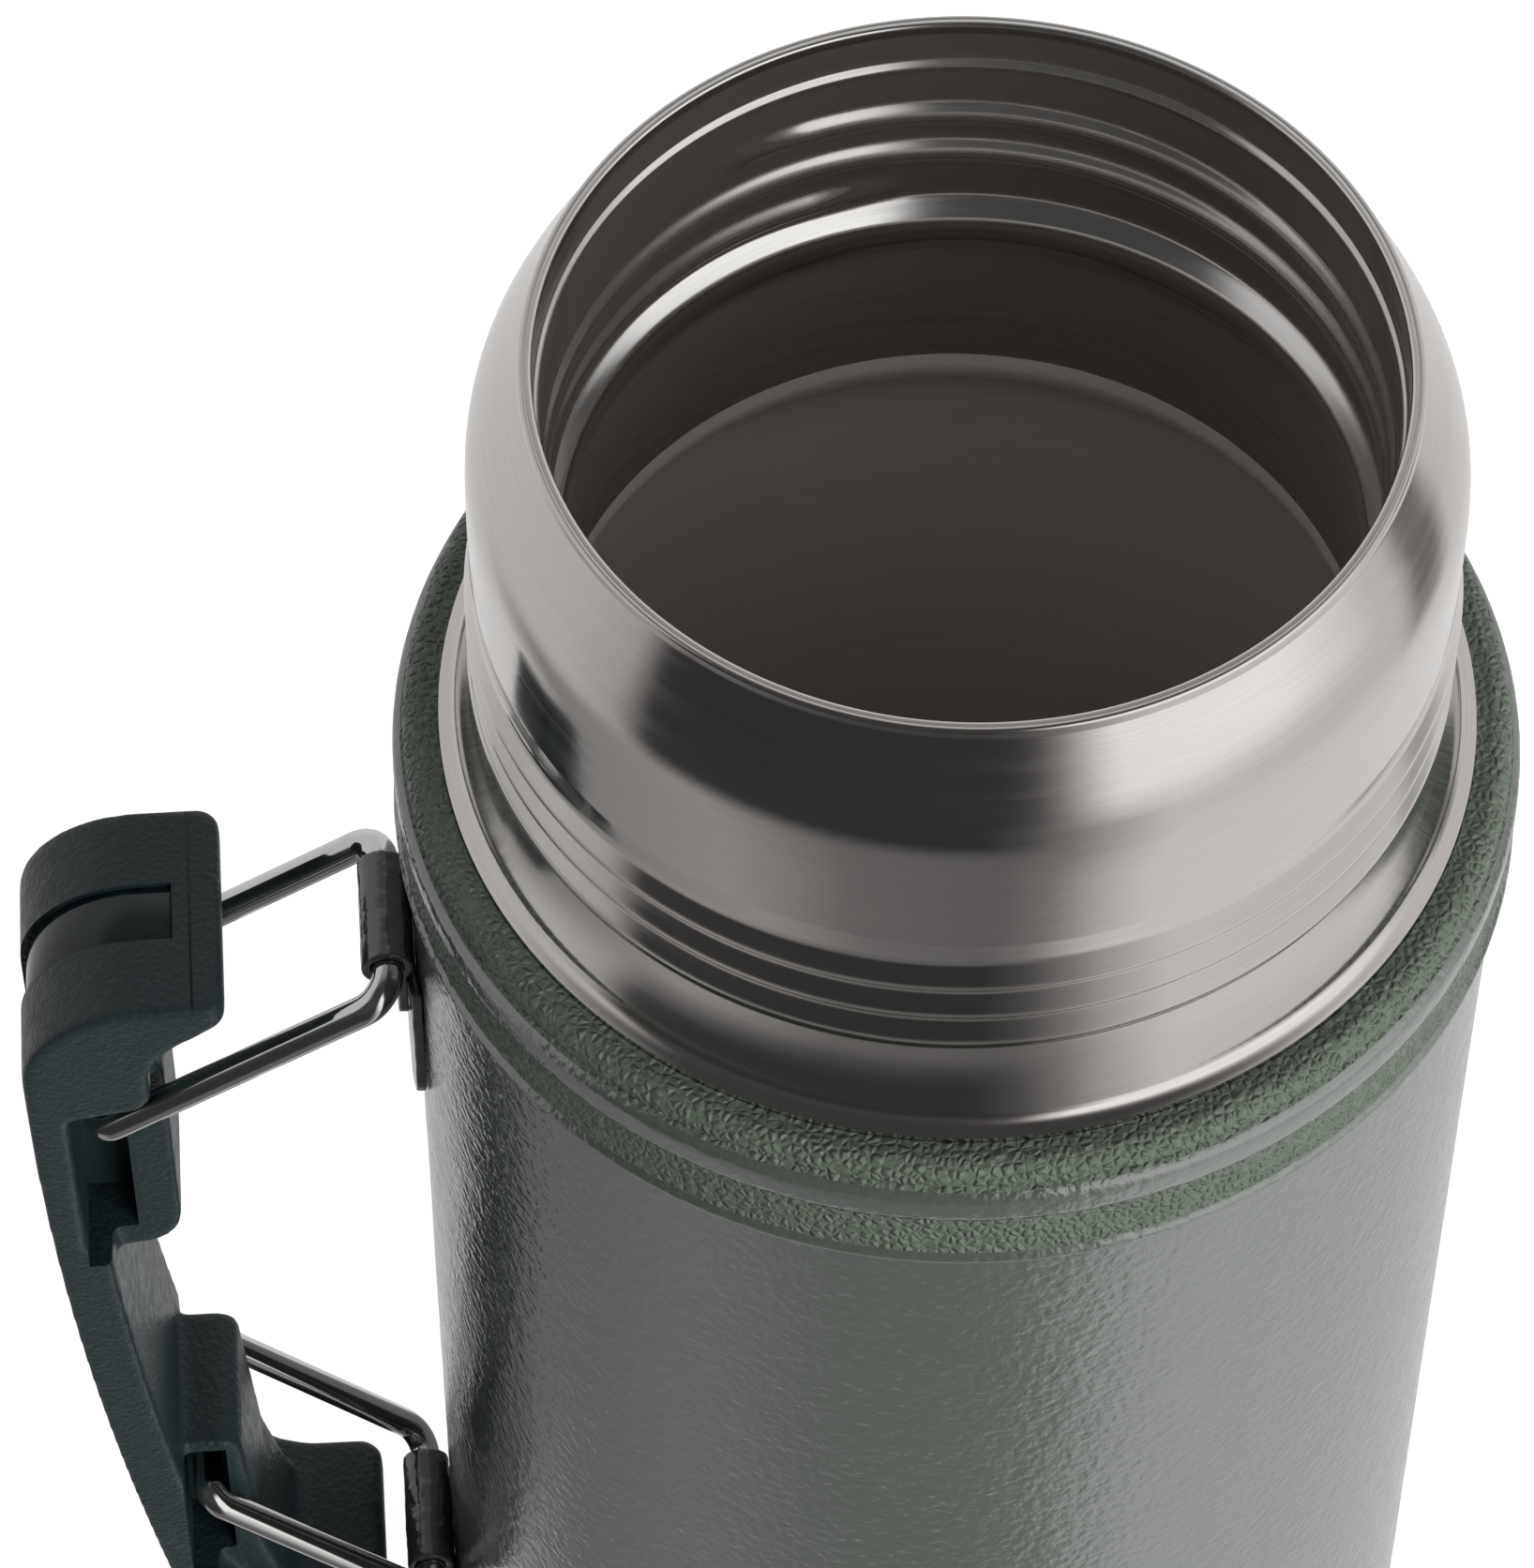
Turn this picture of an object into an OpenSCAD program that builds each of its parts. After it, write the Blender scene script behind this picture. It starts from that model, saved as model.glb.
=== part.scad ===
// Wide-mouth steel vacuum flask with a folding carrying handle, shown open.
// Millimetres, +Z up along the flask's axis, origin at the centre of the base.
// The handle is on the -X side. Outlines in the handle's own plane are written
// as [out, z]: out is the distance from the flask's axis.

/* [Body] */
// height from the table to the lip
height = 276; // [240:1:320]
// outside radius of the painted body
body_r = 60; // [55:0.5:65]
// steel sheet of the outer and inner shells
sheet = 0.8; // [0.5:0.1:1.2]
// gap between the inner vessel and the outer shell, which holds the vacuum
vacuum_gap = 3.4; // [2:0.1:6]

/* [Neck and mouth] */
// radius of the smooth bore just under the lip
mouth_r = 44.4; // [40:0.1:48]
// radius of the smooth band round the outside of the neck
neck_r = 51.7; // [48:0.1:54]
// crest radius of the cup's thread round the neck
thread_crest_r = 52.4; // [50:0.1:54]
// height of one turn of the cup's thread
thread_pitch = 5.05; // [3:0.05:8]
// number of thread turns round the neck
thread_turns = 3; // [1:1:4]
// smallest radius of the polished ring that the stopper seals on
seat_r = 41.6; // [38:0.1:44]

/* [Bails] */
// radius of the bails' wire
wire_r = 1.8; // [1.2:0.1:2.5]
// play between the wire and the rolled knuckle that holds it
pin_play = 0.06; // [0.02:0.01:0.1]
// distance of each bail's knuckle from the flask's axis
knuckle_out = 63; // [62:0.1:66]
// height of the upper knuckle
upper_knuckle_z = 181; // [160:0.5:200]
// height of the lower knuckle
lower_knuckle_z = 44.7; // [30:0.5:80]
// length of the upper bail, from its knuckle to its hooks
upper_bail_len = 41.4; // [30:0.1:50]
// slope of the upper bail below level, in degrees
upper_bail_slope = 35.6; // [20:0.1:60]
// length of the lower bail, from its knuckle to its hooks
lower_bail_len = 38.4; // [30:0.1:50]
// slope of the lower bail above level, in degrees
lower_bail_slope = 46.6; // [20:0.1:60]

/* [Handle] */
// half the width of the grip
grip_half_w = 13.7; // [10:0.1:18]
// height of the top of the grip
grip_top_z = 184.5; // [170:0.5:200]
// furthest reach of the grip from the flask's axis
grip_reach = 104.3; // [95:0.1:115]
// thickness of the grip's strap
strap_t = 6.3; // [4:0.1:9]
// half the width of the smooth inlay strip
inlay_half_w = 3.7; // [2:0.1:6]

/* [Hidden] */
$fn = 96;
slack = 0.02;
shell_in = body_r - sheet;
vessel_r = shell_in - vacuum_gap;
vessel_in = vessel_r - sheet;
// outside and inside of the base pan
foot_in = 46;
recess_z = 3.2;
base_lap = 8;
vessel_floor = 9.5;
seal_hole_r = 3;
// where the outer shell, the collar and the neck meet
shell_top = 208;
band_low = 200.6;
joint_r = 55.8;
joint_z = 217.3;
neck_sheet = 0.9;
neck_foot_r = 51.4;
// heights down the mouth
lip_z = height;
register_z = height - 5.4;
thread_wall_r = mouth_r - 0.5;
seat_top = height - 27.9;
seat_low = height - 33.7;
liner_low = height - 55;
liner_end_r = 44;
// turns of the stopper's thread, formed inwards in the liner
inner_pitch = 6.1;
inner_turns = 2;
// knuckles and brackets
plate_t = 1.2;
knuckle_r = 2.95;
plate_half_w = 8.6;
plate_drop = 26;
upper_arm_y = 11;
lower_arm_y = 11.8;
elbow_r = 3.6;
hook_r = 2.4;
hook_end_y = 3;
// housings inside the grip that the hooks slide in
upper_housing_half = 8.4;
lower_housing_half = 9.5;
web_half = 2.4;
// slots in the housings: distance out, half the gap, lowest and highest point
upper_slot = [96.7, 2.9, 132, 160.4];
lower_slot = [89.5, 2.7, 56, 80.2];
// the grip's outer face: a round top corner, a long slow curve, a round foot corner
corner_r = 13.9;
corner_out = grip_reach - corner_r;
corner_z = grip_top_z - corner_r;
long_r = 690;
foot_r = 12;
foot_angle = 10;
foot_bottom = 34;
inlay_t = 1.1;
inlay_sink = 0.35;
inlay_start = 86.5;
inlay_low = 56;

PAINT = [0.33, 0.38, 0.34];
STEEL = [0.70, 0.68, 0.66];
LINER = [0.25, 0.22, 0.19];
WIRE = [0.75, 0.74, 0.73];
GRIP = [0.13, 0.19, 0.20];

// points of an arc about [cx, cz] from angle a0 to a1, in steps equal parts
function arc(cx, cz, r, a0, a1, steps = 8) =
    [for (i = [0:steps]) let (a = a0 + (a1 - a0) * i / steps) [cx + r * cos(a), cz + r * sin(a)]];

// one solid turned about the flask's axis from its [radius, z] outline
module turned(outline) {
    rotate_extrude($fn = 180) polygon(outline);
}

// a solid of half-width half, cut to an [out, z] outline in the handle's plane
module side_plate(outline, half) {
    rotate([90, 0, 0]) linear_extrude(height = 2 * half, center = true)
        polygon([for (p = outline) [-p[0], p[1]]]);
}

// a cylinder along Y in the handle's plane, between two values of y
module cross_pin(out, z, r, y0, y1) {
    translate([-out, y0, z]) rotate([-90, 0, 0]) cylinder(r = r, h = y1 - y0, $fn = 64);
}

// ---- body ----

module outer_shell() {
    color(PAINT) turned([[shell_in, 0.6], [body_r - 0.5, 0.6], [body_r, 1.6],
                         [body_r, shell_top], [shell_in, shell_top]]);
}

// painted collar: a full top bead, a flat band, a hollow band and a thin lower bead
module shoulder_band() {
    outer = concat([[body_r, band_low], [body_r + 0.6, band_low]],
                   arc(body_r + 0.3, band_low + 1, 0.9, -60, 70, 6),
                   [[body_r + 0.3, band_low + 3], [body_r + 0.1, band_low + 5.6],
                    [body_r + 0.25, band_low + 8], [body_r + 0.4, band_low + 8.6],
                    [body_r + 0.85, band_low + 9.1], [body_r + 0.8, band_low + 10.8],
                    [body_r + 0.2, band_low + 12.8], [body_r - 0.35, band_low + 13.1]],
                   arc(body_r - 2.4, band_low + 14, 2.25, -5, 143, 12));
    inner = [[joint_r, joint_z - 2.7], [shell_in, 211.2], [shell_in, shell_top], [body_r, shell_top]];
    color(PAINT) turned(concat(outer, inner));
}

// outside of the steel neck, from its foot under the collar up to the lip
function neck_outside() =
    concat([[shell_in, 202], [shell_in, 211.2], [joint_r, joint_z - 2.7], [joint_r, joint_z]],
           arc(neck_foot_r + 5.8, 223, 5.8, 256, 180),
           [for (turn = [thread_turns - 1:-1:0])
               each arc(thread_crest_r - 2.2, height - 32.3 - turn * thread_pitch, 2.2, -57, 57, 8)],
           [[neck_r, height - 29.4], [neck_r, height - 15.5]],
           arc(neck_r - 16, height - 15.5, 16, 4, 29.5, 6),
           [[mouth_r + 1, lip_z - 0.25], [mouth_r + 0.75, lip_z]]);

module neck_shell() {
    color(STEEL) difference() {
        turned(concat([[mouth_r + 0.5, 202]], neck_outside(), [[mouth_r + 0.5, lip_z]]));
        turned(concat([[0, 201], [shell_in - neck_sheet, 201]],
                      [[shell_in - neck_sheet, 210.8], [joint_r - neck_sheet, 214.2],
                       [joint_r - neck_sheet, joint_z - 0.7]],
                      arc(neck_foot_r + 5.8, 223, 5.8 + neck_sheet, 246, 180, 6),
                      [[neck_foot_r - neck_sheet, height - 30], [neck_r - neck_sheet, height - 29],
                       [neck_r - neck_sheet, height - 15.8]],
                      arc(neck_r - 16 - neck_sheet, height - 15.8, 16, 4, 27, 6),
                      [[mouth_r + sheet, lip_z - 1.6], [mouth_r + sheet, lip_z + 1], [0, lip_z + 1]]));
    }
}

// inside of the mouth, from the lip down: bore, thread, seat ring and lower wall
function liner_inside() =
    concat([[mouth_r + 0.25, lip_z], [mouth_r, lip_z - 0.5], [mouth_r, register_z],
            [thread_wall_r, register_z - 1]],
           [for (turn = [0:inner_turns - 1])
               each arc(thread_wall_r + 1.4, height - 12.6 - turn * inner_pitch, 2.4, 125, 235)],
           [[thread_wall_r, seat_top + 1.2], [seat_r + 1, seat_top]],
           arc(seat_r + 2.9, seat_top - 2.9, 2.9, 160, 215, 6),
           [[liner_end_r - 0.6, seat_low - 1.2], [liner_end_r, seat_low - 3], [liner_end_r, liner_low]]);

module mouth_liner() {
    inside = liner_inside();
    last = len(inside) - 1;
    outside = [for (i = [last:-1:0]) [min(mouth_r + sheet, inside[i][0] + sheet), inside[i][1]]];
    color(LINER) turned(concat(inside, outside));
}

// ---- inner vessel and what is in the vacuum ----

module inner_vessel() {
    color(LINER) difference() {
        turned([[0, vessel_floor + 6], [vessel_r, vessel_floor + 6], [vessel_r, 203],
                [liner_end_r + 2 * sheet, liner_low - 4], [liner_end_r + 2 * sheet, liner_low + 6],
                [0, liner_low + 6]]);
        turned([[0, vessel_floor + 5], [vessel_in, vessel_floor + 5], [vessel_in, 202.6],
                [liner_end_r, liner_low - 4.4], [liner_end_r, liner_low],
                [liner_end_r + sheet, liner_low], [liner_end_r + sheet, liner_low + 7], [0, liner_low + 7]]);
    }
}

// dished floor of the inner vessel, with a short rim inside the wall
module inner_vessel_base() {
    color(LINER) turned([[0, vessel_floor], [30, vessel_floor], [46, vessel_floor + 1.6],
                         [vessel_in - 1, vessel_floor + 5], [vessel_in, vessel_floor + 6.4],
                         [vessel_in, vessel_floor + 9], [vessel_in - sheet, vessel_floor + 9],
                         [vessel_in - sheet, vessel_floor + 7], [46, vessel_floor + 2.5],
                         [30, vessel_floor + 0.8], [0, vessel_floor + 0.8]]);
}

// pressed pan that closes the bottom: it stands on its flat ring
module outer_base() {
    color(STEEL) difference() {
        turned([[0, recess_z], [foot_in, recess_z], [foot_in, 0], [shell_in - 1, 0], [shell_in, 1],
                [shell_in, base_lap], [shell_in - sheet, base_lap], [shell_in - sheet, sheet],
                [foot_in + sheet, sheet], [foot_in + sheet, recess_z + sheet], [0, recess_z + sheet]]);
        translate([0, 0, recess_z - 1]) cylinder(r = seal_hole_r, h = sheet + 2);
    }
}

module seal_cover() {
    color(STEEL) turned([[0, 1.6], [11, 1.6], [12, 2.2], [12, recess_z], [11.2, recess_z],
                         [11.2, 2.4], [0, 2.4]]);
}

// bead of sealing glass in the hole that the air was drawn out of
module vacuum_seal() {
    color(LINER) translate([0, 0, recess_z]) cylinder(r = seal_hole_r, h = sheet + 0.9);
}

module getter_holder() {
    color(STEEL) translate([27, -4, recess_z + sheet]) cube([14, 8, 0.6]);
}

module getter() {
    color(LINER) translate([34, 0, recess_z + sheet + 0.6]) cylinder(r = 3.2, h = 2.2);
}

// heat-reflecting foil wrapped round the inner vessel
module radiation_foil() {
    color(STEEL) turned([[vessel_r, 24], [vessel_r + 0.2, 24], [vessel_r + 0.2, 196], [vessel_r, 196]]);
}

// ring that steadies the inner vessel on the base
module support_spacer() {
    color(LINER) turned([[17, recess_z + sheet], [22, recess_z + sheet], [22, vessel_floor],
                         [17, vessel_floor]]);
}

// ---- brackets ----

// round-cornered blank of a bracket, standing in the YZ plane and pushed through the body's side
module bracket_blank(low, high, half, r) {
    translate([-body_r - 10, 0, 0]) rotate([90, 0, 90]) linear_extrude(height = 20) union() {
        translate([-half, low + r]) square([2 * half, high - low - r]);
        translate([-half + r, low]) square([2 * (half - r), r + 1]);
        for (side = [-1, 1]) translate([side * (half - r), low + r]) circle(r = r);
    }
}

// plate welded to the body below a knuckle, bent to the body's curve
module bracket_plate(knuckle_z) {
    color(PAINT) intersection() {
        bracket_blank(knuckle_z - plate_drop, knuckle_z - knuckle_r - 0.4, plate_half_w, 4);
        turned([[body_r, knuckle_z - 40], [body_r + plate_t, knuckle_z - 40],
                [body_r + plate_t, knuckle_z + 10], [body_r, knuckle_z + 10]]);
    }
}

// rolled knuckle that holds a bail's wire, with its short flange lying on the plate
module bracket_knuckle(knuckle_z, half) {
    color(PAINT) difference() {
        union() {
            cross_pin(knuckle_out, knuckle_z, knuckle_r, -half, half);
            intersection() {
                bracket_blank(knuckle_z - 10.5, knuckle_z, half, 2.5);
                turned([[body_r + plate_t, knuckle_z - 40], [body_r + 2 * plate_t, knuckle_z - 40],
                        [body_r + 2 * plate_t, knuckle_z + 10], [body_r + plate_t, knuckle_z + 10]]);
            }
        }
        cross_pin(knuckle_out, knuckle_z, wire_r + pin_play, -half - 1, half + 1);
    }
}

module upper_bracket_plate() { bracket_plate(upper_knuckle_z); }
module lower_bracket_plate() { bracket_plate(lower_knuckle_z); }
module upper_bracket_knuckle() { bracket_knuckle(upper_knuckle_z, upper_arm_y - elbow_r - 0.3); }
module lower_bracket_knuckle() { bracket_knuckle(lower_knuckle_z, lower_arm_y - elbow_r - 0.3); }

// ---- bails ----

// quarter bend of wire about [x, y], starting at angle a
module wire_bend(x, y, r, a) {
    translate([x, y, 0]) rotate([0, 0, a]) rotate_extrude(angle = 90) translate([r, 0]) circle(r = wire_r, $fn = 48);
}

// straight wire along Y at x, between two values of y
module wire_across(x, y0, y1) {
    translate([x, y0, 0]) rotate([-90, 0, 0]) cylinder(r = wire_r, h = y1 - y0, $fn = 48);
}

// one wire bail: pin, two arms and two hooks that turn inwards, in its own plane
module bail(knuckle_z, arm_y, length, tilt) {
    color(WIRE) translate([-knuckle_out, 0, knuckle_z]) rotate([0, tilt, 0]) union() {
        wire_across(0, -arm_y + elbow_r, arm_y - elbow_r);
        for (side = [-1, 1]) {
            wire_bend(-elbow_r, side * (arm_y - elbow_r), elbow_r, side > 0 ? 0 : -90);
            translate([-length + hook_r, side * arm_y, 0]) rotate([0, 90, 0])
                cylinder(r = wire_r, h = length - hook_r - elbow_r, $fn = 48);
            wire_bend(-length + hook_r, side * (arm_y - hook_r), hook_r, side > 0 ? 90 : 180);
        }
        wire_across(-length, hook_end_y, arm_y - hook_r);
        wire_across(-length, -arm_y + hook_r, -hook_end_y);
    }
}

module upper_bail() { bail(upper_knuckle_z, upper_arm_y, upper_bail_len, -upper_bail_slope); }
module lower_bail() { bail(lower_knuckle_z, lower_arm_y, lower_bail_len, lower_bail_slope); }

// ---- handle ----

// reach of the grip's outer face at height z, along its long slow curve
function face_out(z) = grip_reach - (corner_z - z) * (corner_z - z) / (2 * long_r);
foot_start_z = foot_bottom + foot_r * (1 + sin(foot_angle));
foot_centre = [face_out(foot_start_z) - foot_r * cos(foot_angle), foot_bottom + foot_r];

// the grip's outer face moved inwards by depth, from out0 on the top to z1 low on the face
function outer_face(depth, out0, z1) =
    concat([[out0, grip_top_z - depth]],
           arc(corner_out, corner_z, corner_r - depth, 90, 0, 10),
           [for (i = [1:10]) let (z = corner_z - (corner_z - z1) * i / 10) [face_out(z) - depth, z]]);

// outline of a band under the grip's outer face, between two depths
function face_band(depth0, depth1, out0, z1) =
    let (back = outer_face(depth1, out0, z1))
    concat(outer_face(depth0, out0, z1), [for (i = [len(back) - 1:-1:0]) back[i]]);

// side view of the grip's full-width part: tongue, cap, strap and foot
function grip_outline() =
    concat([[82, 180.4], [81, 181.2], [81, 183.8], [82, grip_top_z]],
           outer_face(0, 84, foot_start_z),
           arc(foot_centre[0], foot_centre[1], foot_r, -8, -90, 8),
           [[70, foot_bottom], [68.6, 35.4], [68.6, 39.4], [69.8, 40.6], [78, 40.8],
            [81.5, 42.4], [84.5, 46], [89, 54]],
           [for (z = [66, 80, 94, 108, 122, 133]) [face_out(z) - strap_t, z]],
           [[99.6, 135], [99.8, 163], [91.6, 164.6], [90.2, 166.4], [90.2, 171.5], [89, 174.8],
            [86.6, 177.4], [84.2, 179]]);

// narrow housing under the cap, which the upper hooks slide in
function upper_housing_outline() =
    concat([[101, 170], [101, 127.6], [97, 127.6]],
           arc(94.2, 133, 5.4, -90, -180, 6),
           [[88.8, 164], [90.5, 170]]);

// narrow housing above the foot, which the lower hooks slide in
function lower_housing_outline() =
    concat([[86, 36], [88, 44], [92, 60], [95, 81.8], [88, 81.8]],
           arc(87.4, 79.2, 2.6, 90, 175, 5),
           [[83.2, 56], [80.4, 44], [79, 38]]);

// blind slots in both sides of a housing, leaving a middle web
module hook_slots(slot) {
    inner = slot[0] - slot[1];
    outer = slot[0] + slot[1];
    for (side = [-1, 1]) translate([0, side * (web_half + 10), 0])
        side_plate([[inner, slot[2]], [outer, slot[2]], [outer, slot[3]], [inner, slot[3]]], 10);
}

module handle_grip() {
    color(GRIP) difference() {
        union() {
            side_plate(grip_outline(), grip_half_w);
            side_plate(upper_housing_outline(), upper_housing_half);
            side_plate(lower_housing_outline(), lower_housing_half);
        }
        hook_slots(upper_slot);
        hook_slots(lower_slot);
        side_plate(face_band(-1, inlay_t + inlay_sink, inlay_start, inlay_low), inlay_half_w);
    }
}

// smooth strip let into the grip's outer face
module grip_inlay() {
    color(GRIP) side_plate(face_band(inlay_sink, inlay_t + inlay_sink, inlay_start + slack, inlay_low + slack),
                           inlay_half_w - slack);
}

outer_shell();
shoulder_band();
neck_shell();
mouth_liner();
inner_vessel();
inner_vessel_base();
outer_base();
seal_cover();
vacuum_seal();
getter();
getter_holder();
radiation_foil();
support_spacer();
upper_bracket_plate();
upper_bracket_knuckle();
lower_bracket_plate();
lower_bracket_knuckle();
upper_bail();
lower_bail();
handle_grip();
grip_inlay();
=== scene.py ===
import math

import bmesh
import bpy
import numpy as np
from mathutils import Matrix, Vector


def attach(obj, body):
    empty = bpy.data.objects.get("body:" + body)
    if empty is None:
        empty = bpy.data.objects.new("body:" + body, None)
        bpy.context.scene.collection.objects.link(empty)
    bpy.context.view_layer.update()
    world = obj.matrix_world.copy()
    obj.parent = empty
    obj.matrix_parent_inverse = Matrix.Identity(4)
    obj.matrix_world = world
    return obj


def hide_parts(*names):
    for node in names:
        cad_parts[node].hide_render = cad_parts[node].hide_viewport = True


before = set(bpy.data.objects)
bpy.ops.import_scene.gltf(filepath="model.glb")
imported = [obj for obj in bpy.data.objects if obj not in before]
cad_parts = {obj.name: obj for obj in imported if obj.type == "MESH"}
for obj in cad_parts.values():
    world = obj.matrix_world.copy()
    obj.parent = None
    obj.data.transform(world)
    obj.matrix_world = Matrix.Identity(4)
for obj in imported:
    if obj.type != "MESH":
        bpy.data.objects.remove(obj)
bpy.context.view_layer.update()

# Wide-mouth vacuum flask. Outlines are in millimetres, as [radius, z] for turned
# pieces and [out, z] for pieces in the handle's plane; meshes are in metres.
MM = 0.001

# ---- sizes, the same as the CAD part's ----
HEIGHT = 276.0
BODY_R = 60.0
SHEET = 0.8
VACUUM_GAP = 3.4
SEAL_HOLE_R = 3.0
SHELL_TOP = 208.0
BAND_LOW = 200.6
JOINT_R = 55.8
JOINT_Z = 217.3
NECK_FOOT_R = 51.4
NECK_R = 51.7
NECK_SHEET = 0.9
MOUTH_R = 44.4
CREST_R = 52.4
CUP_PITCH = 5.05
CUP_TURNS = 3
STOPPER_PITCH = 6.1
STOPPER_TURNS = 2.08
SEAT_TOP = HEIGHT - 27.9
SEAT_LOW = HEIGHT - 33.7
SEAT_R = 41.6
LINER_LOW = HEIGHT - 55
LINER_END_R = 44.0
VESSEL_FLOOR = 9.5
WIRE_R = 1.8
GRIP_HALF_W = 13.7
GRIP_TOP = 184.5
GRIP_REACH = 104.3
CORNER_R = 13.9
CORNER_OUT = GRIP_REACH - CORNER_R
CORNER_Z = GRIP_TOP - CORNER_R
LONG_R = 690.0
STRAP_T = 6.3
FOOT_R = 12.0
FOOT_BOTTOM = 34.0
ELBOW_R = 3.6
HOOK_R = 2.4
WEB_HALF = 2.4

# ---- sizes that only the visual model has; thread starts are depths under the lip, and
# thread angles and fades (the turn over which an end dies away) are in degrees ----
STOPPER_WALL_R = MOUTH_R - 0.5
CUP_THREAD_START = 30.0
CUP_THREAD_ANGLE = 90.0
CUP_THREAD_FADE = 25.0
STOPPER_THREAD_START = 12.9
STOPPER_THREAD_ANGLE = 122.0
STOPPER_THREAD_FADE = 14.0
STOPPER_THREAD_HALF = 2.15
STOPPER_THREAD_RISE = 1.05
FOIL_ROOM = 0.08
WIRE_END_Y = 3.8
WIRE_CAP = 0.75
WIRE_SIDES = 28
CAP_CORNER = 1.8
INLAY_DEPTH = 0.65
FLOOR_DROP = 0.4


# ---------------------------------------------------------------- outlines
def arc(cx, cz, r, a0, a1, steps):
    """Points on an arc about (cx, cz), from angle a0 to a1 in degrees."""
    angles = np.radians(np.linspace(a0, a1, steps + 1))
    return [[cx + r * math.cos(a), cz + r * math.sin(a)] for a in angles]


def smooth_curve(points, step):
    """Points about step apart on a Catmull-Rom curve through the given ones."""
    p = np.array(points, float)
    p = np.vstack([2 * p[0] - p[1], p, 2 * p[-1] - p[-2]])
    out = [p[1]]
    for i in range(1, len(p) - 2):
        count = max(1, int(round(np.linalg.norm(p[i + 1] - p[i]) / step)))
        for t in np.linspace(0, 1, count + 1)[1:]:
            out.append(0.5 * (2 * p[i] + (p[i + 1] - p[i - 1]) * t
                              + (2 * p[i - 1] - 5 * p[i] + 4 * p[i + 1] - p[i + 2]) * t ** 2
                              + (3 * p[i] - p[i - 1] - 3 * p[i + 1] + p[i + 2]) * t ** 3))
    return [list(q) for q in out]


def dense(points, step):
    """The same broken line with points added so that none is further than step from the next."""
    p = np.array(points, float)
    out = [p[0]]
    for a, b in zip(p[:-1], p[1:]):
        count = max(1, int(math.ceil(np.linalg.norm(b - a) / step)))
        out.extend(a + (b - a) * t for t in np.linspace(0, 1, count + 1)[1:])
    return [list(q) for q in out]


# ---------------------------------------------------------------- noise
def hashed(cells, seed):
    """A repeatable number from 0 to 1 for each whole-number cell."""
    c = cells.astype(np.int64)
    h = (c[..., 0] * 73856093) ^ (c[..., 1] * 19349663) ^ (c[..., 2] * 83492791) ^ (seed * 2654435761)
    h = (h ^ (h >> 13)) * 1274126177 & 0xFFFFFFFF
    h = (h ^ (h >> 16)) * 2246822519 & 0xFFFFFFFF
    return ((h ^ (h >> 15)) & 0xFFFFFF) / float(0xFFFFFF)


def smooth_noise(points, size, seed):
    """Smooth noise from -1 to 1 with features about size wide."""
    q = points / size
    base = np.floor(q)
    f = q - base
    f = f * f * (3 - 2 * f)
    total = np.zeros(len(points))
    for corner in np.ndindex(2, 2, 2):
        weight = np.prod(np.where(corner, f, 1 - f), axis=1)
        total += weight * hashed(base + np.array(corner), seed)
    return 2 * total - 1


def pebbles(points, size, seed):
    """Rounded cells about size wide: 1 in the middle of a cell and 0 in the creases."""
    q = points / size
    base = np.floor(q)
    near = np.full(len(points), 9.0)
    second = np.full(len(points), 9.0)
    for corner in np.ndindex(3, 3, 3):
        cell = base + np.array(corner) - 1
        spot = np.stack([hashed(cell, seed + k) for k in range(3)], axis=1)
        d = np.linalg.norm(cell + spot - q, axis=1)
        second = np.minimum(second, np.maximum(near, d))
        near = np.minimum(near, d)
    return np.clip((second - near) / 0.45, 0, 1) ** 0.6


# ---------------------------------------------------------------- meshes
def finish_mesh(mesh, sharp):
    """Joins points that meet, turns all faces outwards and keeps edges over sharp degrees crisp."""
    bm = bmesh.new()
    bm.from_mesh(mesh)
    bmesh.ops.remove_doubles(bm, verts=bm.verts, dist=1e-6)
    bmesh.ops.recalc_face_normals(bm, faces=bm.faces)
    bm.to_mesh(mesh)
    bm.free()
    mesh.shade_smooth()
    mesh.set_sharp_from_angle(angle=math.radians(sharp))


def add_piece(name, mesh, body, materials, nodes):
    """Adds a visible piece that rides on a body and stands for CAD nodes. The faces keep their
    material index, which clearing the mesh's materials would set to 0."""
    piece = bpy.data.objects.new(name, mesh)
    bpy.context.scene.collection.objects.link(piece)
    index = np.zeros(len(mesh.polygons), np.int32)
    mesh.polygons.foreach_get("material_index", index)
    mesh.materials.clear()
    for m in materials:
        mesh.materials.append(m)
    mesh.polygons.foreach_set("material_index", index)
    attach(piece, body)
    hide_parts(*nodes)


def mesh_from(name, verts_mm, faces):
    mesh = bpy.data.meshes.new(name)
    mesh.from_pydata((np.asarray(verts_mm) * MM).tolist(), [], faces)
    return mesh


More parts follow.
